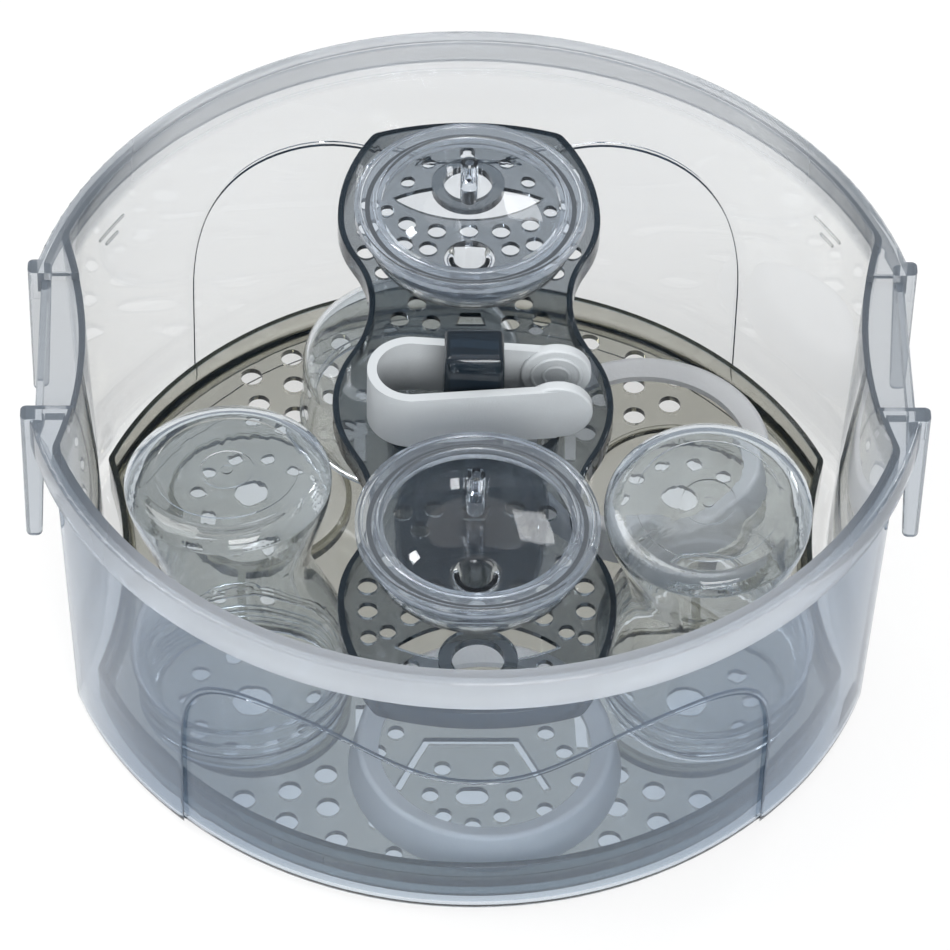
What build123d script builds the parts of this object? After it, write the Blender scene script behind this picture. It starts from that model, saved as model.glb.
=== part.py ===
"""Bottle sterilizer: a translucent tub with two smoke-grey trays, tongs and a load of bottle parts.

Millimetres, +Z up, front towards -Y. The origin is the middle of the tub's base.
"""

import os
from math import cos, radians, sin, tan

from build123d import *

# Tub: basin wall, floor and the shallow recess under it
RIM_RADIUS = 140.0
TUB_HEIGHT = 119.0
BASE_INSET = 8.0
TUB_DRAFT = 2.2
TUB_WALL = 2.2
TUB_FLOOR = 2.6
TUB_EDGE_RADIUS = 6.0
BASE_RING_WIDTH = 14.0
BASE_RECESS_DEPTH = 0.6

# Tub: rim, hand recesses in the sides and the prongs at their corners
RIM_DEPTH = 11.3
RIM_PLATE = 2.4
RIM_SKIRT = 2.0
RIM_ROUNDING = 1.2
BAY_DEPTH = 14.4
BAY_CURVE_RADIUS = 160.0
BAY_CORNER_RADIUS = 4.0
BAY_HALF_WIDTH = 28.3
SHELF_INSET = 5.7
SHELF_DROP = 3.0
PRONG_INSET = 1.4
PRONG_WIDTH = 7.6
PRONG_DEPTH = 6.0
PRONG_CORNER = 1.8
PRONG_TIP_WIDTH = 5.0
PRONG_TIP_DEPTH = 4.4
PRONG_TIP_ROUNDING = 1.6
PRONG_TIP_Z = 65.0

# Tub: stepped panel on the front and back walls
PANEL_STEP = 1.0
PANEL_HALF_WIDTH = 89.5
PANEL_LEG_HEIGHT = 42.0
PANEL_PEAK_X = 62.0
PANEL_PEAK_HEIGHT = 84.5
PANEL_DIP_HEIGHT = 66.7

# Clearances between a piece and what it stands on or in
SEAT_GAP = 0.3
TRAY_SIDE_GAP = 5.3

# Lower tray: dish
TRAY_RIM_HEIGHT = 14.4
TRAY_DRAFT = 1.5
TRAY_WALL = 2.0
TRAY_FLOOR_RISE = 3.2
TRAY_FLOOR = 2.0
TRAY_FILLET = 4.0
TRAY_RIM_ROUNDING = 0.6

# Lower tray: bottle wells, the ribs that link them and the steam holes
WELL_BAY_GAP = 49.1
WELL_REAR_Y = 37.0
WELL_FRONT_Y = -47.0
WELL_RADIUS = 29.4
WELL_WALL = 1.8
WELL_FLOOR = 1.8
WELL_LIP = 0.7
WELL_HOLE_COUNT = 10
WELL_HOLE_CIRCLE_RADIUS = 20.5
WELL_HOLE_DIAMETER = 6.0
WELL_CENTRE_HOLE_DIAMETER = 13.0
RIB_OFFSET = 4.0
RIB_WIDTH = 3.2
TRAY_HOLE_DIAMETER = 7.3
SMALL_HOLE_DIAMETER = 5.5
SMALL_HOLES_WITHIN_X = 34.0
HOLE_WELL_MARGIN = 1.0
STEAM_RING_INSETS = (10.0, 21.0, 32.5, 48.9)
STEAM_RING_ANGLES = (
    (12.3, 21.5, 30.0, 38.0),
    (16.6, 25.5, 33.0, 41.0),
    (29.5, 37.5),
    (31.5,),
)
RIB_HOLE_OFFSETS = (-5.0, 12.5)
RIB_HOLE_Y = -5.0
CENTRE_HOLES = (
    (13.0, 88.3),
    (9.0, 96.7),
    (0.0, 100.4),
    (22.4, 94.3),
    (33.3, 82.2),
    (29.0, 70.9),
    (23.5, 63.0),
    (9.1, 77.7),
)
CENTRE_SLOT_Y = 88.8
CENTRE_SLOT_LENGTH = 10.4
CENTRE_SLOT_WIDTH = 7.0
YOKE_SLOT = ((23.4, 86.0), (14.0, 66.5))
YOKE_SLOT_WIDTH = 2.5
SIDE_SLOT = ((34.2, 52.0), (34.8, 69.0))
SIDE_SLOT_WIDTH = 3.6

# Upper tray: rimmed plate with two end lobes and a middle lobe
BRIDGE_RIM_Z = 91.0
BRIDGE_RIM_HEIGHT = 7.2
BRIDGE_WALL = 2.0
BRIDGE_FLOOR = 1.8
BRIDGE_END_GAP = 6.0
BRIDGE_CORNER_INSET = 5.2
BRIDGE_CORNER_X = 30.5
BRIDGE_CORNER_RADIUS = 5.0
BRIDGE_RIM_ROUNDING = 0.6
LOBE_INSET = 43.6
LOBE_HALF_WIDTH = 42.2
WAIST_INSET = 82.0
WAIST_HALF_WIDTH = 32.2
MIDDLE_HALF_WIDTH = 43.8

# Upper tray: openings in each end lobe, with depths measured from the middle of its teat hole
TEAT_INSET = 58.0
NIPPLE_HOLE_RADIUS = 8.1
BOSS_OFFSET = 33.8
BOSS_HOLE_RADIUS = 8.0
BOSS_RADIUS = 12.0
BOSS_RISE = 1.2
CRESCENT_HALF_WIDTH = 25.0
CRESCENT_END_OFFSET = 28.0
CRESCENT_LOW_OFFSET = 18.0
CRESCENT_HIGH_OFFSET = 34.2
TRAPEZE_OFFSET = -26.2
TRAPEZE_WIDTH = 9.5
TRAPEZE_DEPTH = 5.0
TRAPEZE_ANGLE = 72
BRIDGE_HOLE_DIAMETER = 6.2
BRIDGE_HOLES = (
    (20.1, 16.0),
    (10.4, 12.8),
    (0.0, 13.0),
    (33.0, 13.5),
    (33.0, 3.6),
    (21.3, 6.6),
    (13.3, 4.6),
    (27.3, -5.3),
    (17.0, -19.2),
    (22.6, -26.4),
    (12.5, -28.0),
)
BRIDGE_SMALL_HOLE_DIAMETER = 5.2
BRIDGE_SMALL_HOLES = (
    (0.0, 50.2),
    (13.0, 45.6),
    (20.0, 36.0),
    (27.0, 22.0),
    (32.8, 24.3),
)

# Upper tray: hollow foot and the lifting post that rises inside it
FOOT_LENGTH = 47.4
FOOT_WIDTH = 26.4
FOOT_CORNER = 6.7
FOOT_DRAFT = 2.5
FOOT_WALL = 2.0
POST_WIDTH = 21.4
POST_DEPTH = 17.2
POST_CORNER = 3.0
POST_DRAFT = 0.8
POST_WALL = 2.0
POST_TOP_Z = 117.5
POST_CROWN = 2.6

# Tongs
TONGS_Y = -0.4
TONGS_LEFT_X = -33.1
TONGS_BAND = 3.0
TONGS_HEIGHT = 20.5
TONGS_BEND_RADIUS = 13.9
TONGS_TIP_Y = 9.9
PAD_X = 25.8
PAD_RADIUS = 11.0
PAD_THICKNESS = 3.8
PAD_ROUNDING = 0.8
PAD_RIDGE = 0.6
PAD_RIDGE_RADII = (4.0, 7.6)

# Teats, nipple down
TEAT_RADIUS = 37.1
TEAT_OPENING_RADIUS = 28.6
TEAT_FLANGE = 2.8
TEAT_BEAD = 0.7
TEAT_BEAD_RADII = (30.6, 35.4)
TEAT_SKIRT_RADIUS = 33.6
TEAT_SKIRT_DEPTH = 8.8
TEAT_DEPTH = 24.6
TEAT_WALL = 1.5
NIPPLE_BASE_RADIUS = 8.3
NIPPLE_RADIUS = 6.4
NIPPLE_LENGTH = 21.0
VENT_RADIUS = 2.8
VENT_BORE_RADIUS = 1.3
VENT_OFFSET = 23.5
VENT_DROP = 4.5

# Bottles, mouth down
BOTTLE_HEIGHT = 98.0
BOTTLE_WALL = 1.6
MOUTH_RADIUS = 31.5
NECK_HEIGHT = 16.0
NECK_BEAD_RADIUS = 33.4
NECK_BEAD_HEIGHT = 2.4
NECK_BEAD_ROUNDING = 1.0
SECTIONS_ABOVE_MOUTH = (
    (NECK_HEIGHT, 33.0, 33.0),
    (30.0, 32.8, 32.9),
    (60.0, 23.5, 28.0),
)
SECTIONS_BELOW_BASE = (
    (12.0, 30.8, 31.0),
    (0.0, 30.6, 30.8),
)
BASE_THICKNESS = 3.2
BASE_ROUNDING = 6.0
BASE_STEP_RADIUS = 22.2
BASE_STEP_DEPTH = 0.8
BASE_DISH_RADIUS = 8.3
BASE_DISH_DEPTH = 0.5
BASE_PIP_RADIUS = 1.8
NECK_RIDGE = 1.4
NECK_RIDGE_HEIGHTS = (4.5, 9.0)
LEFT_BOTTLE_SHIFT = (-2.0, -4.5)
LEFT_BOTTLE_LEAN = 5.0
LEFT_BOTTLE_HEADING = 129.0
RIGHT_BOTTLE_SHIFT = (4.7, 2.0)
RIGHT_BOTTLE_LEAN = 8.5
RIGHT_BOTTLE_HEADING = -103.0

# Collars
COLLAR_BASE_RADIUS = 42.5
COLLAR_TOP_RADIUS = 39.5
COLLAR_HEIGHT = 13.0
COLLAR_WALL = 2.2
COLLAR_OPENING_RADIUS = 33.0
COLLAR_LIP_DROP = 3.4
COLLAR_CROWN = 1.2
COLLAR_ROUNDING = 1.6
COLLAR_RIDGE = 0.9
COLLAR_RIDGE_HEIGHTS = (3.0, 6.2)
FRONT_COLLAR_X = 4.0
FRONT_COLLAR_WALL_GAP = 12.2
REAR_COLLAR_SHIFT = (-9.5, 10.5)

# Clear cap under the upper tray
CAP_RADIUS = 36.0
CAP_HEIGHT = 34.0
CAP_WALL = 1.5
CAP_CROWN = 11.0
CAP_BEAD = 1.0
CAP_BEAD_HEIGHT = 3.0
CAP_BEAD_ROUNDING = 0.9
CAP_SHIFT = (-17.5, 5.0)

# Plan places that follow from the sizes above
TUB_BASE_RADIUS = RIM_RADIUS - BASE_INSET
BAY_X = TUB_BASE_RADIUS - BAY_DEPTH
PRONG_X = RIM_RADIUS - PRONG_INSET
TRAY_INSET = TUB_WALL + TRAY_SIDE_GAP
WELL_X = BAY_X - WELL_BAY_GAP
BRIDGE_END_Y = TUB_BASE_RADIUS - BRIDGE_END_GAP
TEAT_Y = BRIDGE_END_Y - TEAT_INSET
FRONT_COLLAR_Y = FRONT_COLLAR_WALL_GAP + COLLAR_BASE_RADIUS - TUB_BASE_RADIUS

# Levels that follow from the sizes above
TRAY_Z = TUB_FLOOR + SEAT_GAP
TRAY_FLOOR_Z = TRAY_Z + TRAY_FLOOR_RISE + TRAY_FLOOR
STAND_Z = TRAY_FLOOR_Z + WELL_LIP + SEAT_GAP
FOOT_Z = TRAY_FLOOR_Z + SEAT_GAP
BRIDGE_Z = BRIDGE_RIM_Z - BRIDGE_RIM_HEIGHT
BRIDGE_FLOOR_Z = BRIDGE_Z + BRIDGE_FLOOR
PERCH_Z = BRIDGE_FLOOR_Z + SEAT_GAP
TEAT_TOP_Z = PERCH_Z + TEAT_DEPTH

# How far a cutting tool runs past the surface that it opens
OVERRUN = 1.0


def disc(x, y, z, radius, height):
    """Upright cylinder that stands on height z."""
    return Pos(x, y, z) * Cylinder(radius, height, align=(Align.CENTER, Align.CENTER, Align.MIN))


def block(x, y, z, width, depth, height):
    """Upright box that stands on height z."""
    return Pos(x, y, z) * Box(width, depth, height, align=(Align.CENTER, Align.CENTER, Align.MIN))


def torus_rings(radii, z, thickness):
    """Round beads, one at each radius, centred on height z."""
    return [Pos(0, 0, z) * Torus(radius, thickness) for radius in radii]


def four_fold(points):
    """Each point with its mirror images across both middle planes."""
    found = []
    for x, y in points:
        for image in ((x, y), (-x, y), (x, -y), (-x, -y)):
            if image not in found:
                found.append(image)
    return found


def turned(points):
    """Solid turned about Z from a closed outline of (radius, height) points."""
    outline = make_face(Polyline(*[(radius, 0, z) for radius, z in points], close=True))
    return revolve(outline, Axis.Z)


def basin_section(z, inset):
    """Plan outline of the tub's wall at height z, moved inwards by inset."""
    grow = z * tan(radians(TUB_DRAFT)) - inset
    bay_centre = BAY_X + BAY_CURVE_RADIUS
    bay_radius = BAY_CURVE_RADIUS - grow
    outline = Circle(TUB_BASE_RADIUS + grow)
    for side in (1, -1):
        outline -= Pos(side * bay_centre, 0) * Circle(bay_radius)
    return Pos(0, 0, z) * fillet(outline.vertices(), BAY_CORNER_RADIUS)


def basin_block(z, top, inset, edge_radius):
    """Solid with the tub's draft from height z to top, its bottom edge rounded."""
    solid = extrude(basin_section(z, inset), top - z, taper=-TUB_DRAFT)
    return fillet(solid.faces().sort_by(Axis.Z)[0].edges(), edge_radius)


def panel_region():
    """Space of the stepped panels: an arch with a dipped top, through front and back."""
    spring = Vector(PANEL_HALF_WIDTH, 0, PANEL_LEG_HEIGHT)
    peak = Vector(PANEL_PEAK_X, 0, PANEL_PEAK_HEIGHT)
    dip = Vector(0, 0, PANEL_DIP_HEIGHT)
    foot = Vector(PANEL_HALF_WIDTH, 0, -OVERRUN)
    half = Curve() + [
        Line((0, 0, -OVERRUN), foot),
        Line(foot, spring),
        Spline(spring, peak, tangents=((0, 0, 1), (-1, 0, 0))),
        Spline(peak, dip, tangents=((-1, 0, 0), (-1, 0, 0))),
    ]
    arch = make_face(half + mirror(half, Plane.YZ))
    return extrude(arch, RIM_RADIUS, both=True)


def recess_cut(side, skirt, plate):
    """What a hand recess takes from the rim's corner, grown by the walls round it."""
    width = 2 * (BAY_HALF_WIDTH + skirt)
    ledge = RIM_RADIUS - BAY_X
    notch = block(side * RIM_RADIUS, 0, 0, 2 * (SHELF_INSET + skirt), width, TUB_HEIGHT)
    step_z = TUB_HEIGHT - SHELF_DROP - plate
    return notch + block(side * (RIM_RADIUS - ledge / 2), 0, step_z, ledge, width, RIM_DEPTH)


def make_rim():
    """Top plate with a hanging skirt, and the walls that line the hand recesses."""
    skirt_z = TUB_HEIGHT - RIM_DEPTH
    plate = disc(0, 0, skirt_z, RIM_RADIUS, RIM_DEPTH)
    plate = fillet(plate.faces().sort_by(Axis.Z)[-1].edges(), RIM_ROUNDING)
    hollow = disc(0, 0, skirt_z, RIM_RADIUS - RIM_SKIRT, RIM_DEPTH - RIM_PLATE)
    for side in (1, -1):
        hollow -= recess_cut(side, RIM_SKIRT, RIM_PLATE)
    return plate - hollow


def make_prong():
    """Tapered finger that hangs from the rim, with an upright outer face at x = 0."""
    root = RectangleRounded(PRONG_WIDTH, PRONG_DEPTH, PRONG_CORNER)
    end = RectangleRounded(PRONG_TIP_WIDTH, PRONG_TIP_DEPTH, PRONG_CORNER)
    top = Pos(-PRONG_WIDTH / 2, 0, TUB_HEIGHT) * root
    tip = Pos(-PRONG_TIP_WIDTH / 2, 0, PRONG_TIP_Z) * end
    finger = loft([tip, top])
    return fillet(finger.faces().sort_by(Axis.Z)[0].edges(), PRONG_TIP_ROUNDING)


def make_tub():
    """One moulding: basin with stepped panels, rim, hand recesses and prongs."""
    wall_top = TUB_HEIGHT - RIM_PLATE
    inner_edge = TUB_EDGE_RADIUS - TUB_WALL
    cavity_top = TUB_HEIGHT + OVERRUN
    region = panel_region()
    outer = basin_block(0, wall_top, 0, TUB_EDGE_RADIUS)
    outer_panel = basin_block(0, wall_top, PANEL_STEP, TUB_EDGE_RADIUS) & region
    inner = basin_block(TUB_FLOOR, cavity_top, TUB_WALL, inner_edge)
    inner_panel = basin_block(TUB_FLOOR, cavity_top, TUB_WALL + PANEL_STEP, inner_edge) & region
    tub = (outer - region) + outer_panel
    tub += make_rim()
    for side in (1, -1):
        tub -= recess_cut(side, 0, 0)
    prong_y = BAY_HALF_WIDTH + PRONG_DEPTH / 2
    for turn in (Rot(), Rot(0, 0, 180)):
        for y in (prong_y, -prong_y):
            tub += turn * Pos(PRONG_X, y, 0) * make_prong()
    tub -= (inner - region) + inner_panel
    return tub - extrude(basin_section(0, BASE_RING_WIDTH), BASE_RECESS_DEPTH)


def steam_holes():
    """Centres of the lower tray's round holes, without those that would break into a well."""
    centres = list(CENTRE_HOLES)
    for inset, angles in zip(STEAM_RING_INSETS, STEAM_RING_ANGLES):
        ring = TUB_BASE_RADIUS - TRAY_INSET - inset
        centres += [(ring * sin(radians(angle)), ring * cos(radians(angle))) for angle in angles]
    reach = WELL_RADIUS + WELL_WALL + TRAY_HOLE_DIAMETER / 2 + HOLE_WELL_MARGIN
    kept = []
    for x, y in four_fold(centres):
        well_y = WELL_REAR_Y if y > 0 else WELL_FRONT_Y
        if (abs(x) - WELL_X) ** 2 + (y - well_y) ** 2 > reach**2:
            kept.append((x, y))
    return kept


def tray_cutters():
    """Sketch of every opening in the lower tray's floor, except those in the wells."""
    cuts = Sketch()
    for x, y in steam_holes():
        diameter = SMALL_HOLE_DIAMETER if abs(x) < SMALL_HOLES_WITHIN_X else TRAY_HOLE_DIAMETER
        cuts += Pos(x, y) * Circle(diameter / 2)
    for offset_x in RIB_HOLE_OFFSETS:
        for side in (1, -1):
            x = side * (WELL_X + offset_x)
            cuts += Pos(x, RIB_HOLE_Y) * Circle(SMALL_HOLE_DIAMETER / 2)
    end, knee = YOKE_SLOT
    for side in (1, -1):
        yoke = Polyline(
            (end[0], side * end[1]),
            (knee[0], side * knee[1]),
            (-knee[0], side * knee[1]),
            (-end[0], side * end[1]),
        )
        cuts += trace(yoke, YOKE_SLOT_WIDTH)
        cuts += Pos(0, side * CENTRE_SLOT_Y) * SlotOverall(CENTRE_SLOT_LENGTH, CENTRE_SLOT_WIDTH)
    for sx, sy in ((1, 1), (1, -1), (-1, 1), (-1, -1)):
        (x0, y0), (x1, y1) = SIDE_SLOT
        cuts += trace(Line((sx * x0, sy * y0), (sx * x1, sy * y1)), SIDE_SLOT_WIDTH)
    return cuts


def make_lower_tray():
    """Perforated dish that follows the tub's plan, with four bottle wells."""
    top = TRAY_Z + TRAY_RIM_HEIGHT
    inner = TRAY_INSET + TRAY_WALL
    tray = extrude(basin_section(TRAY_Z, TRAY_INSET), TRAY_RIM_HEIGHT, taper=-TRAY_DRAFT)
    tray = fillet(tray.faces().sort_by(Axis.Z)[-1].edges(), TRAY_RIM_ROUNDING)
    dish = extrude(
        basin_section(TRAY_FLOOR_Z, inner), top - TRAY_FLOOR_Z + OVERRUN, taper=-TRAY_DRAFT
    )
    tray -= fillet(dish.faces().sort_by(Axis.Z)[0].edges(), TRAY_FILLET)
    under = extrude(basin_section(TRAY_Z, inner), TRAY_FLOOR_RISE + OVERRUN)
    tray -= Pos(0, 0, -OVERRUN) * under
    rise = TRAY_FLOOR_Z + WELL_LIP - TRAY_Z
    rib_length = WELL_REAR_Y - WELL_FRONT_Y - 2 * WELL_RADIUS
    rib_y = (WELL_REAR_Y + WELL_FRONT_Y) / 2
    for sign in (1, -1):
        x = sign * WELL_X
        rib_x = sign * (WELL_X + RIB_OFFSET)
        tray += block(rib_x, rib_y, TRAY_Z, RIB_WIDTH, rib_length, TRAY_FLOOR_Z - TRAY_Z)
        for y in (WELL_REAR_Y, WELL_FRONT_Y):
            tray += disc(x, y, TRAY_Z, WELL_RADIUS + WELL_WALL, rise)
            tray -= disc(x, y, TRAY_Z + WELL_FLOOR, WELL_RADIUS, rise)
            holes = [Pos(x, y) * Circle(WELL_CENTRE_HOLE_DIAMETER / 2)]
            with PolarLocations(WELL_HOLE_CIRCLE_RADIUS, WELL_HOLE_COUNT) as ring:
                spots = list(ring.locations)
            holes += [Pos(x, y) * spot * Circle(WELL_HOLE_DIAMETER / 2) for spot in spots]
            tray -= extrude(Sketch() + holes, TRAY_FLOOR_Z)
    return tray - extrude(tray_cutters(), top)


def s_bend(start, end):
    """Two equal arcs from start to end that leave and arrive along Y."""
    middle = ((start[0] + end[0]) / 2, (start[1] + end[1]) / 2)
    return [
        TangentArc(start, middle, tangent=(0, -1)),
        TangentArc(end, middle, tangent=(0, 1)),
    ]


def bridge_outline(inset):
    """Plan of the upper tray, moved inwards by inset: end lobes, waists and a middle lobe."""
    corner_y = BRIDGE_END_Y - BRIDGE_CORNER_INSET - inset
    corner = (BRIDGE_CORNER_X - inset, corner_y)
    lobe = (LOBE_HALF_WIDTH - inset, BRIDGE_END_Y - LOBE_INSET)
    waist = (WAIST_HALF_WIDTH - inset, BRIDGE_END_Y - WAIST_INSET)
    middle = (MIDDLE_HALF_WIDTH - inset, 0)
    side = Curve() + [TangentArc(lobe, corner, tangent=(0, 1))]
    side += s_bend(lobe, waist) + s_bend(waist, middle)
    side += mirror(side, Plane.XZ)
    side += mirror(side, Plane.YZ)
    for sign in (1, -1):
        crown = (0, sign * (BRIDGE_END_Y - inset))
        far = (corner[0], sign * corner[1])
        side += ThreePointArc((-corner[0], sign * corner[1]), crown, far)
    outline = make_face(side)
    corners = outline.vertices().filter_by(lambda v: abs(v.Y) > corner_y - OVERRUN)
    return fillet(corners, BRIDGE_CORNER_RADIUS - inset)


def bridge_cutters():
    """Sketch of the upper tray's openings."""
    lobe = Sketch()
    for holes, diameter in (
        (BRIDGE_HOLES, BRIDGE_HOLE_DIAMETER),
        (BRIDGE_SMALL_HOLES, BRIDGE_SMALL_HOLE_DIAMETER),
    ):
        for x, y in holes:
            for side in (1, -1) if x else (1,):
                lobe += Pos(side * x, y) * Circle(diameter / 2)
    start = (-CRESCENT_HALF_WIDTH, CRESCENT_END_OFFSET)
    end = (CRESCENT_HALF_WIDTH, CRESCENT_END_OFFSET)
    low = ThreePointArc(start, (0, CRESCENT_LOW_OFFSET), end)
    high = ThreePointArc(end, (0, CRESCENT_HIGH_OFFSET), start)
    lobe += make_face(Curve() + [low, high]) - Pos(0, BOSS_OFFSET) * Circle(BOSS_RADIUS)
    lobe += Pos(0, BOSS_OFFSET) * Circle(BOSS_HOLE_RADIUS)
    lobe += Circle(NIPPLE_HOLE_RADIUS)
    lobe += Pos(0, TRAPEZE_OFFSET) * Trapezoid(TRAPEZE_WIDTH, TRAPEZE_DEPTH, TRAPEZE_ANGLE)
    rear = Pos(0, TEAT_Y) * lobe
    return rear + mirror(rear, Plane.XZ)


def make_upper_tray():
    """Rimmed bridge on a hollow foot, with a hollow post that stands up through it."""
    tray = Pos(0, 0, BRIDGE_Z) * extrude(bridge_outline(0), BRIDGE_RIM_HEIGHT)
    tray = fillet(tray.faces().sort_by(Axis.Z)[-1].edges(), BRIDGE_RIM_ROUNDING)
    tray -= Pos(0, 0, BRIDGE_FLOOR_Z) * extrude(bridge_outline(BRIDGE_WALL), BRIDGE_RIM_HEIGHT)
    for sign in (1, -1):
        boss_y = sign * (TEAT_Y + BOSS_OFFSET)
        tray += disc(0, boss_y, BRIDGE_Z, BOSS_RADIUS, BRIDGE_FLOOR + BOSS_RISE)
    foot_height = BRIDGE_FLOOR_Z - FOOT_Z
    foot = RectangleRounded(FOOT_LENGTH, FOOT_WIDTH, FOOT_CORNER)
    tray += Pos(0, 0, FOOT_Z) * extrude(foot, foot_height, taper=-FOOT_DRAFT)
    pocket = Pos(0, 0, FOOT_Z + FOOT_WALL) * extrude(
        offset(foot, -FOOT_WALL), foot_height + OVERRUN - FOOT_WALL, taper=-FOOT_DRAFT
    )
    tray -= pocket
    post_height = POST_TOP_Z - FOOT_Z
    stem = RectangleRounded(POST_WIDTH, POST_DEPTH, POST_CORNER)
    post = extrude(stem, post_height, taper=POST_DRAFT)
    post = fillet(post.faces().sort_by(Axis.Z)[-1].edges(), POST_CROWN)
    core = extrude(offset(stem, -POST_WALL), post_height - POST_WALL, taper=POST_DRAFT)
    tray += Pos(0, 0, FOOT_Z) * post
    tray -= Pos(0, 0, FOOT_Z) * core
    return tray - Pos(0, 0, BRIDGE_Z - OVERRUN) * extrude(bridge_cutters(), BRIDGE_RIM_HEIGHT)


def make_tongs():
    """One sprung band bent round the post, with a round ridged pad at each end."""
    centre_line = TONGS_BEND_RADIUS - TONGS_BAND / 2
    bend_x = TONGS_LEFT_X + TONGS_BEND_RADIUS
    tip = TONGS_TIP_Y - TONGS_BAND / 2
    path = Curve() + [
        Line((PAD_X, tip), (bend_x, centre_line)),
        ThreePointArc((bend_x, centre_line), (bend_x - centre_line, 0), (bend_x, -centre_line)),
        Line((bend_x, -centre_line), (PAD_X, -tip)),
    ]
    tongs = extrude(trace(path, TONGS_BAND), TONGS_HEIGHT)
    for side in (1, -1):
        inner_y = side * (TONGS_TIP_Y - PAD_THICKNESS)
        facing = Rot(-90 * side, 0, 0)
        pad = Cylinder(PAD_RADIUS, PAD_THICKNESS, align=(Align.CENTER, Align.CENTER, Align.MIN))
        pad = fillet(pad.edges(), PAD_ROUNDING)
        for radius in PAD_RIDGE_RADII:
            pad += Torus(radius, PAD_RIDGE)
        tongs += Pos(PAD_X, inner_y, PAD_RADIUS) * facing * pad
    return Pos(0, TONGS_Y, PERCH_Z) * tongs


def teat_core(inset):
    """Solid bounded by the teat's skirt, dome and nipple, moved inwards by inset."""
    skirt = TEAT_SKIRT_RADIUS - inset
    base = NIPPLE_BASE_RADIUS - inset
    stem = NIPPLE_RADIUS - inset
    spring_z = -TEAT_SKIRT_DEPTH
    dome_z = inset - TEAT_DEPTH
    throat = base - stem
    neck_z = dome_z - throat
    tip_z = inset - TEAT_DEPTH - NIPPLE_LENGTH
    slant = sin(radians(45))
    edges = [
        Line((0, -TEAT_FLANGE), (skirt, -TEAT_FLANGE)),
        Line((skirt, -TEAT_FLANGE), (skirt, spring_z)),
        EllipticalCenterArc((base, spring_z), skirt - base, spring_z - dome_z, -90, arc_size=90),
        ThreePointArc(
            (base, dome_z), (base - throat * slant, neck_z + throat * slant), (stem, neck_z)
        ),
        Line((stem, neck_z), (stem, tip_z + stem)),
        ThreePointArc((stem, tip_z + stem), (stem * slant, tip_z + stem - stem * slant), (0, tip_z)),
        Line((0, tip_z), (0, -TEAT_FLANGE)),
    ]
    return revolve(Plane.XZ * make_face(Curve() + edges), Axis.Z)


def make_teat():
    """Clear teat with a clamping flange, a beaded rim, a dome, a nipple and a vent."""
    core = teat_core(0)
    teat = core + disc(0, 0, -TEAT_FLANGE, TEAT_RADIUS, TEAT_FLANGE)
    teat += torus_rings(TEAT_BEAD_RADII, 0, TEAT_BEAD)
    teat -= teat_core(TEAT_WALL)
    teat -= disc(0, 0, -TEAT_FLANGE, TEAT_OPENING_RADIUS, TEAT_FLANGE + OVERRUN)
    vent = disc(0, VENT_OFFSET, -TEAT_DEPTH, VENT_RADIUS, TEAT_DEPTH - VENT_DROP)
    teat += vent & core
    bore = disc(0, VENT_OFFSET, -TEAT_DEPTH / 2, VENT_BORE_RADIUS, TEAT_DEPTH)
    return teat - bore


def bottle_hull(inset):
    """Bottle body with a waist pinched from two sides, moved inwards by inset."""
    places = list(SECTIONS_ABOVE_MOUTH)
    places += [(BOTTLE_HEIGHT - depth, x, y) for depth, x, y in SECTIONS_BELOW_BASE]
    sections = []
    for height, half_x, half_y in places:
        sections.append(
            Pos(0, 0, height) * Rot(0, 0, 90) * Ellipse(half_y - inset, half_x - inset)
        )
    return loft(sections)


def make_bottle():
    """Wide-necked bottle standing on its mouth."""
    hull = bottle_hull(0)
    hull = fillet(hull.faces().sort_by(Axis.Z)[-1].edges(), BASE_ROUNDING)
    neck = disc(0, 0, 0, MOUTH_RADIUS, NECK_HEIGHT)
    bead_z = NECK_HEIGHT - NECK_BEAD_HEIGHT / 2
    bead = disc(0, 0, bead_z, NECK_BEAD_RADIUS, NECK_BEAD_HEIGHT)
    bottle = hull + neck + fillet(bead.edges(), NECK_BEAD_ROUNDING)
    for height in NECK_RIDGE_HEIGHTS:
        bottle += Pos(0, 0, height) * Torus(MOUTH_RADIUS, NECK_RIDGE)
    inner_height = BOTTLE_HEIGHT - BASE_THICKNESS
    inner = bottle_hull(BOTTLE_WALL) & disc(0, 0, 0, MOUTH_RADIUS * 2, inner_height)
    inner = fillet(inner.faces().sort_by(Axis.Z)[-1].edges(), BASE_ROUNDING - BOTTLE_WALL)
    bottle -= inner
    bottle -= disc(0, 0, -OVERRUN, MOUTH_RADIUS - BOTTLE_WALL, NECK_HEIGHT + 2 * OVERRUN)
    bottle -= disc(0, 0, BOTTLE_HEIGHT - BASE_STEP_DEPTH, BASE_STEP_RADIUS, OVERRUN)
    floor_z = BOTTLE_HEIGHT - BASE_STEP_DEPTH
    bottle -= disc(0, 0, floor_z - BASE_DISH_DEPTH, BASE_DISH_RADIUS, OVERRUN)
    return bottle + disc(0, 0, floor_z - OVERRUN, BASE_PIP_RADIUS, OVERRUN)


def lean(bottle, side, shift, angle, heading):
    """Bottle near the front well on one side, tipped by angle towards heading."""
    raise_by = MOUTH_RADIUS * sin(radians(angle))
    turn = Rot(0, 0, heading) * Rot(0, angle, 0) * Rot(0, 0, -heading)
    x = side * WELL_X + shift[0]
    return Pos(x, WELL_FRONT_Y + shift[1], STAND_Z + raise_by) * turn * bottle


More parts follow.
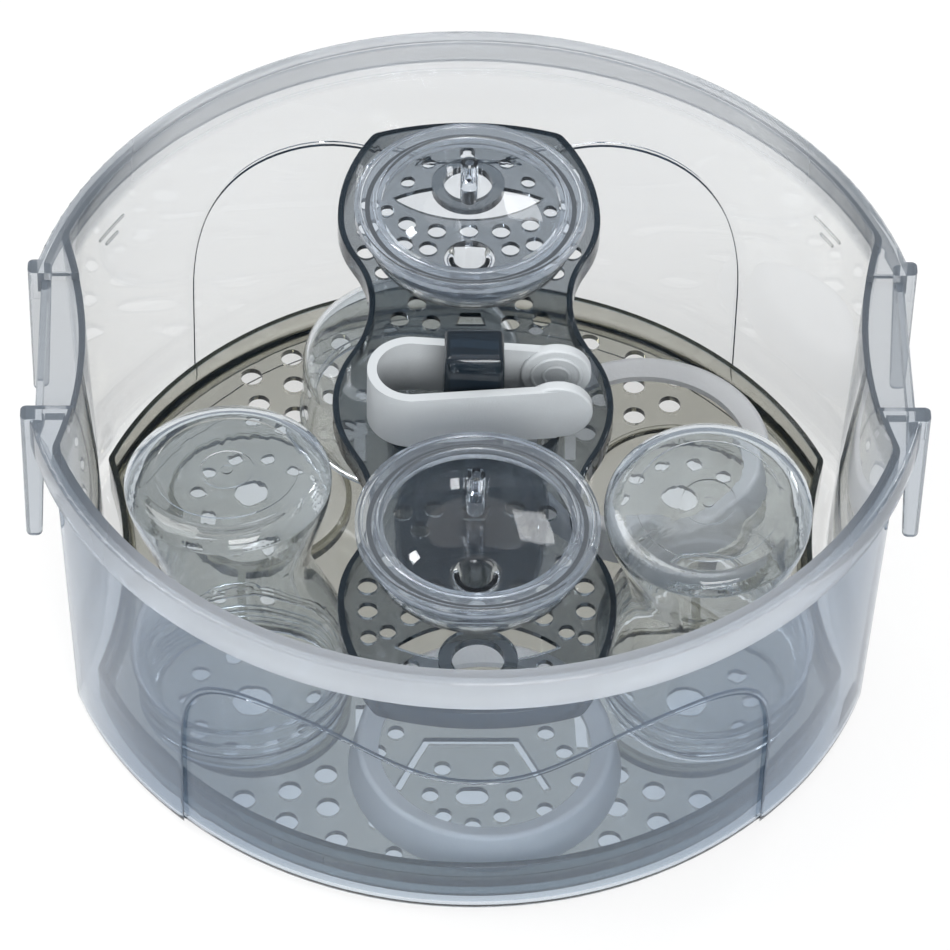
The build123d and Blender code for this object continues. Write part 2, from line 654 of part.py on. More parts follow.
def make_collar():
    """Screw collar: a flared skirt and a dished top round a wide opening."""
    height = COLLAR_HEIGHT
    outline = [
        (COLLAR_BASE_RADIUS, 0),
        (COLLAR_TOP_RADIUS, height),
        (COLLAR_OPENING_RADIUS, height - COLLAR_LIP_DROP),
        (COLLAR_OPENING_RADIUS, height - COLLAR_LIP_DROP - COLLAR_WALL),
        (COLLAR_TOP_RADIUS - COLLAR_WALL, height - COLLAR_WALL - COLLAR_CROWN),
        (COLLAR_BASE_RADIUS - COLLAR_WALL, 0),
    ]
    collar = turned(outline)
    top_edge = collar.edges().group_by(Axis.Z)[-1]
    collar = fillet(top_edge, COLLAR_ROUNDING)
    slope = (COLLAR_BASE_RADIUS - COLLAR_TOP_RADIUS) / COLLAR_HEIGHT
    for z in COLLAR_RIDGE_HEIGHTS:
        radius = COLLAR_BASE_RADIUS - COLLAR_WALL - slope * z
        collar += Pos(0, 0, z) * Torus(radius, COLLAR_RIDGE)
    return collar


def make_cap():
    """Clear domed cap, open below, with a bead round its mouth."""
    dome = disc(0, 0, 0, CAP_RADIUS, CAP_HEIGHT)
    dome = fillet(dome.faces().sort_by(Axis.Z)[-1].edges(), CAP_CROWN)
    hollow = disc(0, 0, -OVERRUN, CAP_RADIUS - CAP_WALL, CAP_HEIGHT - CAP_WALL + OVERRUN)
    hollow = fillet(hollow.faces().sort_by(Axis.Z)[-1].edges(), CAP_CROWN - CAP_WALL)
    bead = disc(0, 0, 0, CAP_RADIUS + CAP_BEAD, CAP_BEAD_HEIGHT)
    return dome + fillet(bead.edges(), CAP_BEAD_ROUNDING) - hollow


def build_parts():
    """Every piece in its place, by node name."""
    teat = make_teat()
    bottle = make_bottle()
    collar = make_collar()
    left = lean(bottle, -1, LEFT_BOTTLE_SHIFT, LEFT_BOTTLE_LEAN, LEFT_BOTTLE_HEADING)
    right = lean(bottle, 1, RIGHT_BOTTLE_SHIFT, RIGHT_BOTTLE_LEAN, RIGHT_BOTTLE_HEADING)
    rear_collar_x = WELL_X + REAR_COLLAR_SHIFT[0]
    rear_collar_y = WELL_REAR_Y + REAR_COLLAR_SHIFT[1]
    return {
        "tub": make_tub(),
        "lower_tray": make_lower_tray(),
        "upper_tray": make_upper_tray(),
        "tongs": make_tongs(),
        "rear_teat": Pos(0, TEAT_Y, TEAT_TOP_Z) * teat,
        "front_teat": Pos(0, -TEAT_Y, TEAT_TOP_Z) * teat,
        "left_bottle": left,
        "right_bottle": right,
        "front_collar": Pos(FRONT_COLLAR_X, FRONT_COLLAR_Y, STAND_Z) * collar,
        "rear_collar": Pos(rear_collar_x, rear_collar_y, STAND_Z) * collar,
        "bottle_cap": Pos(CAP_SHIFT[0], TEAT_Y + CAP_SHIFT[1], STAND_Z) * make_cap(),
    }


if __name__ == "__main__":
    os.makedirs("parts", exist_ok=True)
    for name, shape in build_parts().items():
        export_step(shape, f"parts/{name}.step")
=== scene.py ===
from math import cos, pi, radians, sin

import bmesh
import bpy
from bpy.props import FloatProperty, FloatVectorProperty, PointerProperty
from mathutils import Matrix, Vector


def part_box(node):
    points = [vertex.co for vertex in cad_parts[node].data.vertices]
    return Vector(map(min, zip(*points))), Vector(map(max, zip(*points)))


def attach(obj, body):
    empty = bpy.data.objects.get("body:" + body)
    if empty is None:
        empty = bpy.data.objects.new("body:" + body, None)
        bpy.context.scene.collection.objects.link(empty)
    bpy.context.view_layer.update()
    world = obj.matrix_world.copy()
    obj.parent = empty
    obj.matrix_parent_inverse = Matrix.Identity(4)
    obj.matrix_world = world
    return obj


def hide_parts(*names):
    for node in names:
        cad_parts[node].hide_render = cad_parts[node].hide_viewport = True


bl_info = {
    "name": "Bottle sterilizer",
    "version": (1, 0, 0),
    "blender": (4, 5, 0),
    "location": "View3D > Sidebar > Sterilizer",
    "description": "Dresses the packed bottle sterilizer: plastics, glassy parts, stage and camera",
    "category": "Object",
}

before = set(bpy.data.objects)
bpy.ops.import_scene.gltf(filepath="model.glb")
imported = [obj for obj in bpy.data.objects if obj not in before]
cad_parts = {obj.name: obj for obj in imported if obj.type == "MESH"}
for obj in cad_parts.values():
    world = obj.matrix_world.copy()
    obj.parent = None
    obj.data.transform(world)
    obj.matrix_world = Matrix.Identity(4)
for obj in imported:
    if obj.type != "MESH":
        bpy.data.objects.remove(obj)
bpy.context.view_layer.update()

# Level marks on the back of the tub: angles and the bars' spans in radians, the rest in metres
LEVEL_ANGLE = radians(31.8)
LEVEL_Z = 0.0962
LEVEL_PITCH = 0.0045
LEVEL_RADIUS = 0.13565
LEVEL_SUNK = 0.0004
LEVEL_RELIEF = 0.0004
LONG_BAR = 0.105
SHORT_BAR = 0.050
BAR_HEIGHT = 0.0009
BAR_STEPS = 10

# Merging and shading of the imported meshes
MERGE_DISTANCE = 2e-6
CRISP_ANGLE = radians(32)
ROUND_ANGLE = radians(38)

# How much each plastic bends light
POLYPROPYLENE_IOR = 1.49
GLASSY_IOR = 1.5
SILICONE_IOR = 1.41

# Where the tub's plastic changes and where its painted shade begins, from and to, in metres on its
# own axes
RIM_UP = (0.1035, 0.1085)
PRONG_OUT = (0.1295, 0.1325)
RECESS_SHADE_OUT = (0.09, 0.123)
FLANK_SHADE_OUT = (0.03, 0.11)
FRONT_SHADE_Y = (0.0, -0.08)
FLOOR_UP = (0.003, 0.009)

# Tub: repeats per metre of its noise, relief in metres, unevenness of the veil, loss per metre
TUB_FLOW = 22.0
TUB_DRIFT = 9.0
TUB_RIPPLE = 0.00004
MILK_DRIFT = 0.05
TUB_LOSS = 35.0

# Trays, with painted shade on their raised tops and on the front of their wall
TRAY_WAVE = 40.0
TRAY_RIPPLE = 0.00004
TRAY_SHADE_FRONT = (-0.01, -0.05)
LOWER_SHADE_DROP = 0.0007
TRAY_WALL_DROP = 0.0035
UPPER_SHADE_Z = 0.0904
PAINTED_EDGE_RISE = 0.0004
SHADE_WALL_RISE = 0.001
SMOKE_CLEAR = (0.98, 0.98, 0.98, 1)
SMOKE_PAINTED_SHADE = (0.42, 0.52, 0.62, 1)
SMOKE_HAZE = (0.11, 0.18, 0.26, 1)

# Teats, bottles and cap, with a painted glint that whitens the teats' flange
GLASSY_WAVE = 48.0
FLANGE_GLINT_DROP = 0.0037
FLANGE_GLINT_SHARE = 0.09
NO_GLINT_Z = 1.0
TEAT_RIPPLE = 0.00003
TEAT_HAZE_SHARE = 0.012
BOTTLE_RIPPLE = 0.00005
BOTTLE_HAZE_SHARE = 0.03
CAP_RIPPLE = 0.00008
CAP_HAZE_SHARE = 0.05
CLEAR_HAZE = (0.52, 0.60, 0.70, 1)
FLANGE_PAINTED_GLINT = (0.74, 0.82, 0.92, 1)

# Collars and tongs
COLLAR_GRAIN = 900.0
COLLAR_RELIEF = 0.0001
TONGS_GRAIN = 1800.0
TONGS_RELIEF = 0.00012
TONGS_DRIFT = 30.0
TONGS_SHADE = 0.94

# Stage, in metres: the curtain stands just above the floor and ends far above the object
WHITE = (1, 1, 1, 1)
STAGE_SEGMENTS = 64
FLOOR_RADIUS = 12.0
FLOOR_DROP = 0.0002
FLOOR_GLOW = 0.72
CURTAIN_FOOT_RADIUS = 3.0
CURTAIN_TOP_RADIUS = 1.5
CURTAIN_HEIGHT = 2.6
CURTAIN_MIDDLE_Z = 1.31
CURTAIN_GREY = (0.30, 0.33, 0.37, 1)
LAMPS = (
    ("key", (-0.95, 0.15, 1.35), 0.9),
    ("fill", (0.3, -1.6, 0.95), 0.9),
    ("strip", (0.8, 0.9, 1.3), 0.2),
)

# Camera: width of the picture and the lens's middle in it in pixels, sensor in millimetres
IMAGE_SIZE = 950
PRINCIPAL_X = 471.149
PRINCIPAL_Y = 470.076
SENSOR_WIDTH = 36.0
CLIP_NEAR = 0.1
CLIP_FAR = 60.0


def colour(name, description, default):
    """Colour property with the four channels that a shader socket takes."""
    return FloatVectorProperty(
        name=name, description=description, subtype="COLOR", size=4, min=0, max=1, default=default
    )


def share(name, description, default):
    """Number property between 0 and 1."""
    return FloatProperty(
        name=name, description=description, subtype="FACTOR", min=0, max=1, default=default
    )


class PlasticSettings(bpy.types.PropertyGroup):
    """Colours and clearness of the plastics, and the painted shade on the tub's front wall and rim.
    """

    tub_tint: colour(
        "Tub tint", "Colour that the clear basin wall passes", (0.99, 0.985, 0.97, 1)
    )
    # Front and flank tints and the front and side milk are painted shade: the front wall darker and
    # bluer, most at its sides
    front_shade_tint: colour(
        "Front tint", "Colour that the middle of the front wall passes", (0.87, 0.92, 0.965, 1)
    )
    flank_shade_tint: colour(
        "Flank tint", "Colour that the front wall's sides pass", (0.72, 0.78, 0.845, 1)
    )
    wall_veil: colour("Wall veil", "Colour of the veil in the basin wall", (0.075, 0.16, 0.29, 1))
    rim_veil: colour("Rim veil", "Colour of the veil in the rim", (0.78, 0.81, 0.85, 1))
    # Recess veil is painted shade: a darker veil on the rim by the hand recesses and on the prongs
    recess_shade_veil: colour(
        "Recess veil", "Colour of the veil by the hand recesses", (0.30, 0.34, 0.39, 1)
    )
    wall_milk: share("Wall milk", "Share of veil in the basin wall", 0.08)
    front_shade_milk: share("Front milk", "Share of veil that the front wall has besides", 0.04)
    side_shade_milk: share("Side milk", "Share of veil that the front wall's sides have besides", 0.14)
    rim_milk: share("Rim milk", "Share of veil in the rim and the prongs", 0.34)
    tub_body: colour(
        "Tub body", "Light left after a long way in the wall", (0.70, 0.79, 0.875, 1)
    )
    lower_smoke: colour(
        "Lower tray smoke", "Light left after the tray's body", (0.56, 0.55, 0.46, 1)
    )
    lower_depth: FloatProperty(
        name="Lower tray depth", description="Smoke per metre of the lower tray", default=470.0
    )
    upper_smoke: colour(
        "Upper tray smoke", "Light left after the tray's body", (0.45, 0.49, 0.52, 1)
    )
    upper_depth: FloatProperty(
        name="Upper tray depth", description="Smoke per metre of the upper tray", default=820.0
    )
    silicone_tint: colour("Silicone tint", "Colour of the teats", (0.93, 0.96, 1.0, 1))
    bottle_tint: colour("Bottle tint", "Colour of the bottles and the cap", (0.93, 0.96, 0.98, 1))
    collar_tint: colour("Collar tint", "Colour of the frosted collars", (0.95, 0.96, 0.97, 1))
    tongs_grey: colour("Tongs grey", "Colour of the tongs", (0.52, 0.55, 0.57, 1))


class StageSettings(bpy.types.PropertyGroup):
    """Floor, light and camera."""

    floor_colour: colour("Floor", "Colour of the floor", (0.95, 0.95, 0.95, 1))
    sky_strength: FloatProperty(
        name="Sky strength", description="Soft light from all round", default=0.75
    )
    key_power: FloatProperty(
        name="Key power", description="Overhead soft box", unit="POWER", default=12.0
    )
    fill_power: FloatProperty(
        name="Fill power", description="Soft box in front", unit="POWER", default=25.0
    )
    strip_power: FloatProperty(
        name="Strip power", description="Small lamp for crisp glints", unit="POWER", default=3.0
    )
    camera_distance: FloatProperty(
        name="Camera distance", description="From the aim point", unit="LENGTH", default=1.85
    )
    camera_tilt: FloatProperty(
        name="Camera tilt", description="Below the horizon", unit="ROTATION", default=0.822719
    )
    camera_turn: FloatProperty(
        name="Camera turn", description="Round the object", unit="ROTATION", default=-0.035954
    )
    camera_roll: FloatProperty(
        name="Camera roll",
        description="About the line of sight",
        unit="ROTATION",
        default=-0.0285297,
    )
    camera_lens: FloatProperty(
        name="Lens", description="Focal length", subtype="DISTANCE_CAMERA", default=222.428
    )
    aim_height: FloatProperty(
        name="Aim height", description="Height of the aim point", unit="LENGTH", default=0.06
    )


class Wire:
    """Output of a shader node. Sums, differences and products with it add Math nodes."""

    def __init__(self, finish, socket):
        self.finish = finish
        self.socket = socket

    def _math(self, operation, *values):
        return self.finish.node(
            "ShaderNodeMath", {"operation": operation}, dict(enumerate(values))
        )

    def __add__(self, other):
        return self._math("ADD", self, other)

    __radd__ = __add__

    def __sub__(self, other):
        return self._math("SUBTRACT", self, other)

    def __rsub__(self, other):
        return self._math("SUBTRACT", other, self)

    def __mul__(self, other):
        return self._math("MULTIPLY", self, other)

    __rmul__ = __mul__

    def __abs__(self):
        return self._math("ABSOLUTE", self)

    def maximum(self, other):
        return self._math("MAXIMUM", self, other)


class Finish:
    """Node tree of a material or the world, built one node at a time."""

    def __init__(self, owner):
        owner.use_nodes = True
        self.owner = owner
        self.tree = owner.node_tree
        self.tree.nodes.clear()

    def node(self, kind, settings=None, inputs=None, output=0):
        """Adds a node, applies its settings, then fills its sockets with values or wires."""
        made = self.tree.nodes.new(kind)
        for key, value in (settings or {}).items():
            setattr(made, key, value)
        for key, value in (inputs or {}).items():
            if isinstance(value, Wire):
                self.tree.links.new(value.socket, made.inputs[key])
            else:
                made.inputs[key].default_value = value
        if not made.outputs:
            return None
        return Wire(self, made.outputs[output])

    def place(self):
        """Position on the piece, in metres."""
        return self.node("ShaderNodeTexCoord", output="Object")

    def along(self, axis):
        """Place on the piece along X, Y or Z, in metres."""
        return self.node("ShaderNodeSeparateXYZ", None, {0: self.place()}, output=axis)

    def from_middle(self):
        """Distance from the object's upright middle line, in metres."""
        flat = self.node(
            "ShaderNodeVectorMath", {"operation": "MULTIPLY"}, {0: self.place(), 1: (1, 1, 0)}
        )
        return self.node(
            "ShaderNodeVectorMath", {"operation": "LENGTH"}, {0: flat}, output="Value"
        )

    def noise(self, scale):
        """Smooth noise between 0 and 1, with scale repeats per metre."""
        return self.node("ShaderNodeTexNoise", None, {"Vector": self.place(), "Scale": scale})

    def bump(self, height, relief):
        """Normal that follows a height between 0 and 1, with the relief in metres."""
        return self.node("ShaderNodeBump", None, {"Height": height, "Distance": relief})

    def ramp(self, wire, start, end):
        """0 up to the start, 1 past the end, and a smooth rise between them."""
        return self.node(
            "ShaderNodeMapRange",
            {"interpolation_type": "SMOOTHSTEP"},
            {"Value": wire, "From Min": start, "From Max": end},
        )

    def blend(self, share_of_second, first, second):
        """Colour that runs from the first to the second."""
        return self.node(
            "ShaderNodeMix",
            {"data_type": "RGBA"},
            {0: share_of_second, 6: first, 7: second},
            output=2,
        )

    def surface(self, **sockets):
        """Principled surface; underscores in a name stand for spaces."""
        inputs = {key.replace("_", " "): value for key, value in sockets.items()}
        return self.node("ShaderNodeBsdfPrincipled", None, inputs)

    def mix(self, share_of_second, first, second):
        """Two surfaces in one."""
        return self.node("ShaderNodeMixShader", None, {0: share_of_second, 1: first, 2: second})

    def body(self, tone, density):
        """Inside of a wall that dyes and dims the light on its way through."""
        return self.node("ShaderNodeVolumeAbsorption", None, {"Color": tone, "Density": density})

    def close(self, surface, body=None):
        """Output of a material's tree; returns the material."""
        inputs = {"Surface": surface}
        if body:
            inputs["Volume"] = body
        self.node("ShaderNodeOutputMaterial", None, inputs)
        return self.owner


def new_finish(name):
    """Empty finish of a new material of that name."""
    return Finish(bpy.data.materials.new(name))


def tub_plastic(look):
    """Milky polypropylene: a clear wall under a bluish veil that thickens in the rim, with painted
    shade that darkens the front wall, most at its sides, and the rim towards the hand recesses and
    prongs.
    """
    finish = new_finish("tub_plastic")
    flow = finish.noise(TUB_FLOW)
    drift = finish.noise(TUB_DRIFT)
    ripple = finish.bump(flow, TUB_RIPPLE)
    out = abs(finish.along("X"))
    up = finish.along("Z")
    rim = finish.ramp(up, *RIM_UP).maximum(finish.ramp(out, *PRONG_OUT))
    # Painted shade: the rim's veil turns darker towards the hand recesses and the prongs
    rim_tone_and_shade = finish.blend(finish.ramp(out, *RECESS_SHADE_OUT), look.rim_veil, look.recess_shade_veil)
    # Painted shade: the front wall is tinted darker and bluer and gets more of the dark veil, most
    # at its sides
    front = finish.ramp(finish.along("Y"), *FRONT_SHADE_Y)
    flank_shade = finish.ramp(out, *FLANK_SHADE_OUT)
    front_shade_tone = finish.blend(flank_shade, look.front_shade_tint, look.flank_shade_tint)
    clear = finish.surface(
        Base_Color=finish.blend(front, look.tub_tint, front_shade_tone),
        Roughness=0.01 + 0.02 * flow,
        Transmission_Weight=1.0,
        IOR=POLYPROPYLENE_IOR,
        Normal=ripple,
    )
    veil = finish.surface(
        Base_Color=finish.blend(rim, look.wall_veil, rim_tone_and_shade),
        Roughness=0.34 + 0.08 * flow,
        Transmission_Weight=0.3,
        IOR=POLYPROPYLENE_IOR,
        Normal=ripple,
    )
    front_shade_milk = front * (look.front_shade_milk + look.side_shade_milk * flank_shade)
    wall_milk = look.wall_milk + MILK_DRIFT * (drift - 0.5) + front_shade_milk
    wall_milk = wall_milk * finish.ramp(up, *FLOOR_UP)
    milk = wall_milk * (1.0 - rim) + look.rim_milk * rim
    return finish.close(finish.mix(milk, clear, veil), finish.body(look.tub_body, TUB_LOSS))


def smoke_plastic(name, tone, density, shade_from, wall_radius):
    """See-through grey plastic, with painted shade above a height and in the front of its wall."""
    finish = new_finish(name)
    wave = finish.noise(TRAY_WAVE)
    ripple = finish.bump(wave, TRAY_RIPPLE)
    # Painted shade: darker above the given height and on the front of the wall
    raised_shade = finish.ramp(finish.along("Z"), shade_from, shade_from + PAINTED_EDGE_RISE)
    front = finish.ramp(finish.along("Y"), *TRAY_SHADE_FRONT)
    wall = front * finish.ramp(finish.from_middle(), wall_radius, wall_radius + SHADE_WALL_RISE)
    clear = finish.surface(
        Base_Color=finish.blend(raised_shade.maximum(wall), SMOKE_CLEAR, SMOKE_PAINTED_SHADE),
        Roughness=0.01 + 0.03 * wave,
        Transmission_Weight=1.0,
        IOR=GLASSY_IOR,
        Normal=ripple,
    )
    haze = finish.surface(Base_Color=SMOKE_HAZE, Roughness=0.3, Normal=ripple)
    mixed = finish.mix(0.05 + 0.04 * wave, clear, haze)
    return finish.close(mixed, finish.body(tone, density))


def clear_plastic(name, tint, relief, ior, haze_share, glint_from=NO_GLINT_Z):
    """Glassy plastic or silicone with a moulded wall's soft ripple, and a painted glint that makes
    it whiter above a height.
    """
    finish = new_finish(name)
    wave = finish.noise(GLASSY_WAVE)
    ripple = finish.bump(wave, relief)
    clear = finish.surface(
        Base_Color=tint, Roughness=0.015 * wave, Transmission_Weight=1.0, IOR=ior, Normal=ripple
    )
    # Painted glint: above the given height the surface gets a whiter haze
    flange_glint = finish.ramp(finish.along("Z"), glint_from, glint_from + PAINTED_EDGE_RISE)
    tone = finish.blend(flange_glint, CLEAR_HAZE, FLANGE_PAINTED_GLINT)
    haze = finish.surface(Base_Color=tone, Roughness=0.25, Normal=ripple)
    haze_and_glint = haze_share * (0.6 + 0.8 * wave) + FLANGE_GLINT_SHARE * flange_glint
    return finish.close(finish.mix(haze_and_glint, clear, haze))


def frosted_plastic(look):
    """White see-through polypropylene with a ground finish."""
    finish = new_finish("frosted_collar")
    grain = finish.noise(COLLAR_GRAIN)
    frosted = finish.surface(
        Base_Color=look.collar_tint,
        Roughness=0.3 + 0.1 * grain,
        Transmission_Weight=0.12,
        IOR=POLYPROPYLENE_IOR,
        Normal=finish.bump(grain, COLLAR_RELIEF),
    )
    return finish.close(frosted)


def satin_grey(look):
    """Solid grey polypropylene with a fine eroded grain."""
    finish = new_finish("tongs_grey")
    grain = finish.noise(TONGS_GRAIN)
    drift = finish.noise(TONGS_DRIFT)
    darker = [TONGS_SHADE * channel for channel in look.tongs_grey[:3]] + [1]
    satin = finish.surface(
        Base_Color=finish.blend(drift, look.tongs_grey, darker),
        Roughness=0.36 + 0.1 * grain,
        Normal=finish.bump(grain, TONGS_RELIEF),
    )
    return finish.close(satin)


def mesh_of(bm, name):
    """Mesh made of a bmesh, which is freed."""
    mesh = bpy.data.meshes.new(name)
    bm.to_mesh(mesh)
    bm.free()
    return mesh


def add_object(name, data):
    """Object in the scene that shows a mesh, a lamp or a camera."""
    made = bpy.data.objects.new(name, data)
    bpy.context.scene.collection.objects.link(made)
    return made


def shade_smooth(bm, sharp_angle):
    """Smooth faces, with the edges past the angle kept sharp."""
    for face in bm.faces:
        face.smooth = True
    for edge in bm.edges:
        edge.smooth = edge.calc_face_angle(0.0) < sharp_angle


def smooth_copy(node, sharp_angle):
    """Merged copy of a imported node's mesh, smooth except across its sharp edges."""
    bm = bmesh.new()
    bm.from_mesh(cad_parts[node].data)
    bmesh.ops.remove_doubles(bm, verts=bm.verts, dist=MERGE_DISTANCE)
    shade_smooth(bm, sharp_angle)
    mesh = mesh_of(bm, node)
    if "custom_normal" in mesh.attributes:
        mesh.attributes.remove(mesh.attributes["custom_normal"])
    return mesh


def carry(name, mesh, node, material):
    """Piece made of a finished mesh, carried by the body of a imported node."""
    mesh.materials.clear()
    mesh.materials.append(material)
    piece = add_object(name, mesh)
    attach(piece, node)
    return piece


def dress(name, node, material, sharp_angle=CRISP_ANGLE):
    """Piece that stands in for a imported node, with the node's own shape."""
    piece = carry(name, smooth_copy(node, sharp_angle), node, material)
    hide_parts(node)


def level_bar(bm, middle, span, z):
    """Raised bar on the outside of the basin wall: a small rectangle spun about Z."""
    start = middle - span / 2
    section = (
        (LEVEL_RADIUS - LEVEL_SUNK, z),
        (LEVEL_RADIUS + LEVEL_RELIEF, z),
        (LEVEL_RADIUS + LEVEL_RELIEF, z + BAR_HEIGHT),
        (LEVEL_RADIUS - LEVEL_SUNK, z + BAR_HEIGHT),
    )
    face = bm.faces.new([bm.verts.new((r * cos(start), r * sin(start), up)) for r, up in section])
    bmesh.ops.spin(bm, geom=[face], cent=(0, 0, 0), axis=(0, 0, 1), angle=span, steps=BAR_STEPS)


def level_marks():
    """Two plain level marks high on the back wall, each a long bar over a short one."""
    bm = bmesh.new()
    for middle in (LEVEL_ANGLE, pi - LEVEL_ANGLE):
        level_bar(bm, middle, LONG_BAR, LEVEL_Z)
        level_bar(bm, middle, SHORT_BAR, LEVEL_Z - LEVEL_PITCH)
    bmesh.ops.recalc_face_normals(bm, faces=bm.faces)
    shade_smooth(bm, CRISP_ANGLE)
    return mesh_of(bm, "level_marks")


class STERILIZER_OT_tub(bpy.types.Operator):
    """Dress the basin in milky plastic and add its level marks."""

    bl_idname = "sterilizer.tub"
    bl_label = "Tub"

    def execute(self, context):
        material = tub_plastic(context.scene.sterilizer_plastics)
        dress("basin", "tub", material)
        carry("level_marks", level_marks(), "tub", material)
        return {"FINISHED"}


class STERILIZER_OT_trays(bpy.types.Operator):
    """Dress the lower and the upper tray in smoke-grey plastic."""

    bl_idname = "sterilizer.trays"
    bl_label = "Trays"

    def execute(self, context):
        look = context.scene.sterilizer_plastics
        low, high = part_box("lower_tray")
        # Height and wall radius from which the trays get painted shade
        lower_shade_z = high[2] - LOWER_SHADE_DROP
        wall = -low[1] - TRAY_WALL_DROP
        lower = smoke_plastic("lower_tray_smoke", look.lower_smoke, look.lower_depth, lower_shade_z, wall)
        upper = smoke_plastic(
            "upper_tray_smoke", look.upper_smoke, look.upper_depth, UPPER_SHADE_Z, wall
        )
        dress("bottle_tray", "lower_tray", lower)
        dress("bridge_tray", "upper_tray", upper)
        return {"FINISHED"}


class STERILIZER_OT_tongs(bpy.types.Operator):
    """Dress the tongs in satin grey."""

    bl_idname = "sterilizer.tongs"
    bl_label = "Tongs"

    def execute(self, context):
        dress("grip_tongs", "tongs", satin_grey(context.scene.sterilizer_plastics))
        return {"FINISHED"}


class STERILIZER_OT_teats(bpy.types.Operator):
    """Dress both teats in clear silicone."""

    bl_idname = "sterilizer.teats"
    bl_label = "Teats"

    def execute(self, context):
        # The teats' flange gets a painted glint above its top less a small drop
        material = clear_plastic(
            "clear_silicone",
            context.scene.sterilizer_plastics.silicone_tint,
            TEAT_RIPPLE,
            SILICONE_IOR,
            TEAT_HAZE_SHARE,
            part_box("front_teat")[1][2] - FLANGE_GLINT_DROP,
        )
        for side in ("rear", "front"):
            dress(f"{side}_silicone", f"{side}_teat", material, ROUND_ANGLE)
        return {"FINISHED"}


class STERILIZER_OT_bottles(bpy.types.Operator):
    """Dress both bottles in clear plastic."""

    bl_idname = "sterilizer.bottles"
    bl_label = "Bottles"

    def execute(self, context):
        tint = context.scene.sterilizer_plastics.bottle_tint
        material = clear_plastic(
            "clear_bottle", tint, BOTTLE_RIPPLE, GLASSY_IOR, BOTTLE_HAZE_SHARE
        )
        for side in ("left", "right"):
            dress(f"{side}_body", f"{side}_bottle", material, ROUND_ANGLE)
        return {"FINISHED"}


class STERILIZER_OT_collars(bpy.types.Operator):
    """Dress the collars in frosted plastic and the cap in clear plastic."""

    bl_idname = "sterilizer.collars"
    bl_label = "Collars and cap"

    def execute(self, context):
        look = context.scene.sterilizer_plastics
        frosted = frosted_plastic(look)
        for side in ("front", "rear"):
            dress(f"{side}_ring", f"{side}_collar", frosted, ROUND_ANGLE)
        clear = clear_plastic(
            "clear_cap", look.bottle_tint, CAP_RIPPLE, POLYPROPYLENE_IOR, CAP_HAZE_SHARE
        )
        dress("dome_cap", "bottle_cap", clear, ROUND_ANGLE)
        return {"FINISHED"}


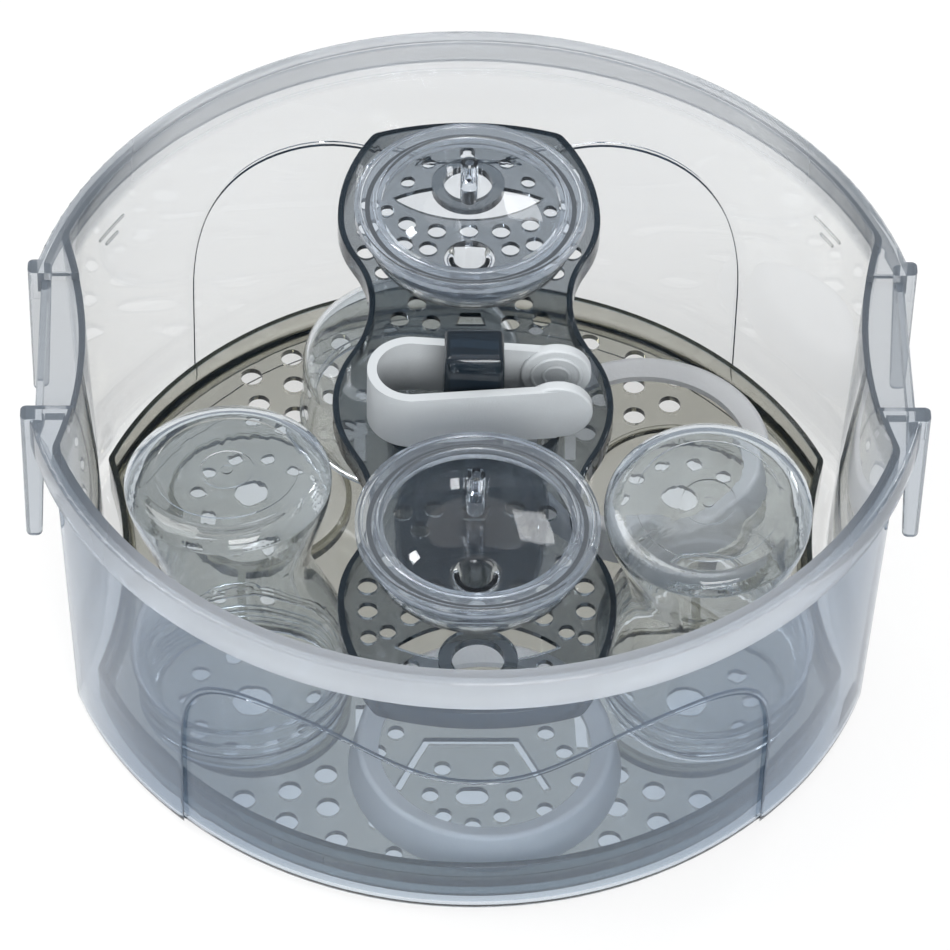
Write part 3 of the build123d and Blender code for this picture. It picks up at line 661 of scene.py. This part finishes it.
class STERILIZER_OT_stage(bpy.types.Operator):
    """Set the floor, the curtain, the soft light and the camera."""

    bl_idname = "sterilizer.stage"
    bl_label = "Stage"

    def execute(self, context):
        stage = context.scene.sterilizer_stage
        self.make_floor(stage)
        self.make_curtain()
        self.make_sky(context, stage)
        for name, place, size in LAMPS:
            self.make_lamp(name, place, size, getattr(stage, f"{name}_power"))
        self.make_camera(context, stage)
        context.scene.view_settings.view_transform = "Standard"
        return {"FINISHED"}

    @staticmethod
    def seen_directly(finish):
        """1 where the camera, a reflection or a see-through wall looks at the surface."""
        camera, glossy, transmitted = (
            finish.node("ShaderNodeLightPath", output=f"Is {kind} Ray")
            for kind in ("Camera", "Glossy", "Transmission")
        )
        return camera.maximum(glossy).maximum(transmitted)

    def make_floor(self, stage):
        """Wide pale floor that keeps a faint shadow."""
        bm = bmesh.new()
        bmesh.ops.create_circle(bm, cap_ends=True, segments=STAGE_SEGMENTS, radius=FLOOR_RADIUS)
        bmesh.ops.translate(bm, vec=(0, 0, -FLOOR_DROP), verts=bm.verts)
        floor = add_object("floor", mesh_of(bm, "floor"))
        finish = new_finish("floor")
        matt = finish.node("ShaderNodeBsdfDiffuse", None, {"Color": stage.floor_colour})
        glow = finish.node("ShaderNodeEmission", None, {"Color": WHITE, "Strength": 1.0})
        glowing = FLOOR_GLOW * self.seen_directly(finish)
        floor.data.materials.append(finish.close(finish.mix(glowing, matt, glow)))

    @staticmethod
    def make_curtain():
        """Grey curtain all round, open at the top, which only reflections and bent light meet."""
        bm = bmesh.new()
        bmesh.ops.create_cone(
            bm,
            segments=STAGE_SEGMENTS,
            radius1=CURTAIN_FOOT_RADIUS,
            radius2=CURTAIN_TOP_RADIUS,
            depth=CURTAIN_HEIGHT,
        )
        bmesh.ops.translate(bm, vec=(0, 0, CURTAIN_MIDDLE_Z), verts=bm.verts)
        curtain = add_object("curtain", mesh_of(bm, "curtain"))
        finish = new_finish("curtain")
        glow = finish.node("ShaderNodeEmission", None, {"Color": CURTAIN_GREY, "Strength": 1.0})
        curtain.data.materials.append(finish.close(glow))
        curtain.visible_camera = False
        curtain.visible_diffuse = False
        curtain.visible_shadow = False

    def make_sky(self, context, stage):
        """White all round: full strength where it is seen, softer where it lights."""
        world = bpy.data.worlds.new("sky")
        context.scene.world = world
        finish = Finish(world)
        seen = self.seen_directly(finish)
        strength = stage.sky_strength + (1.0 - stage.sky_strength) * seen
        light = finish.node("ShaderNodeBackground", None, {"Color": WHITE, "Strength": strength})
        finish.node("ShaderNodeOutputWorld", None, {"Surface": light})

    @staticmethod
    def make_lamp(name, place, size, power):
        """Square soft box aimed at the object."""
        lamp = bpy.data.lights.new(name, "AREA")
        lamp.size = size
        lamp.energy = power
        holder = add_object(name, lamp)
        holder.location = place
        holder.rotation_euler = (-Vector(place)).to_track_quat("-Z", "Y").to_euler()

    @staticmethod
    def make_camera(context, stage):
        """Camera at the photograph's place, with its lens and its small offset."""
        tilt = stage.camera_tilt
        roll = stage.camera_roll
        ahead = Vector((0, cos(tilt), -sin(tilt)))
        right = Vector((1, 0, 0))
        up = Vector((0, sin(tilt), cos(tilt)))
        across = right * cos(roll) - up * sin(roll)
        upward = right * sin(roll) + up * cos(roll)
        turn = Matrix.Rotation(stage.camera_turn, 3, "Z")
        across, upward, ahead = turn @ across, turn @ upward, turn @ ahead
        data = bpy.data.cameras.new("camera")
        data.sensor_width = SENSOR_WIDTH
        data.lens = stage.camera_lens
        data.shift_x = (IMAGE_SIZE / 2 - PRINCIPAL_X) / IMAGE_SIZE
        data.shift_y = (PRINCIPAL_Y - IMAGE_SIZE / 2) / IMAGE_SIZE
        data.clip_start = CLIP_NEAR
        data.clip_end = CLIP_FAR
        camera = add_object("camera", data)
        aim = Vector((0, 0, stage.aim_height))
        axes = Matrix((across, upward, -ahead)).transposed().to_4x4()
        camera.matrix_world = Matrix.Translation(aim - stage.camera_distance * ahead) @ axes
        context.scene.camera = camera


class STERILIZER_PT_panel(bpy.types.Panel):
    """Settings of the plastics and the stage, and a button for each group of pieces."""

    bl_idname = "STERILIZER_PT_panel"
    bl_label = "Bottle sterilizer"
    bl_space_type = "VIEW_3D"
    bl_region_type = "UI"
    bl_category = "Sterilizer"

    def draw(self, context):
        for group in (context.scene.sterilizer_plastics, context.scene.sterilizer_stage):
            box = self.layout.box()
            for name in group.__annotations__:
                box.prop(group, name)
        for operator in OPERATORS:
            self.layout.operator(operator.bl_idname)


SETTINGS = (PlasticSettings, StageSettings)
OPERATORS = (
    STERILIZER_OT_tub,
    STERILIZER_OT_trays,
    STERILIZER_OT_tongs,
    STERILIZER_OT_teats,
    STERILIZER_OT_bottles,
    STERILIZER_OT_collars,
    STERILIZER_OT_stage,
)
CLASSES = SETTINGS + OPERATORS + (STERILIZER_PT_panel,)


def register():
    for cls in CLASSES:
        bpy.utils.register_class(cls)
    bpy.types.Scene.sterilizer_plastics = PointerProperty(type=PlasticSettings)
    bpy.types.Scene.sterilizer_stage = PointerProperty(type=StageSettings)


def unregister():
    del bpy.types.Scene.sterilizer_stage
    del bpy.types.Scene.sterilizer_plastics
    for cls in reversed(CLASSES):
        bpy.utils.unregister_class(cls)


def main():
    register()
    bpy.ops.sterilizer.tub()
    bpy.ops.sterilizer.trays()
    bpy.ops.sterilizer.tongs()
    bpy.ops.sterilizer.teats()
    bpy.ops.sterilizer.bottles()
    bpy.ops.sterilizer.collars()
    bpy.ops.sterilizer.stage()


if __name__ == "__main__":
    main()
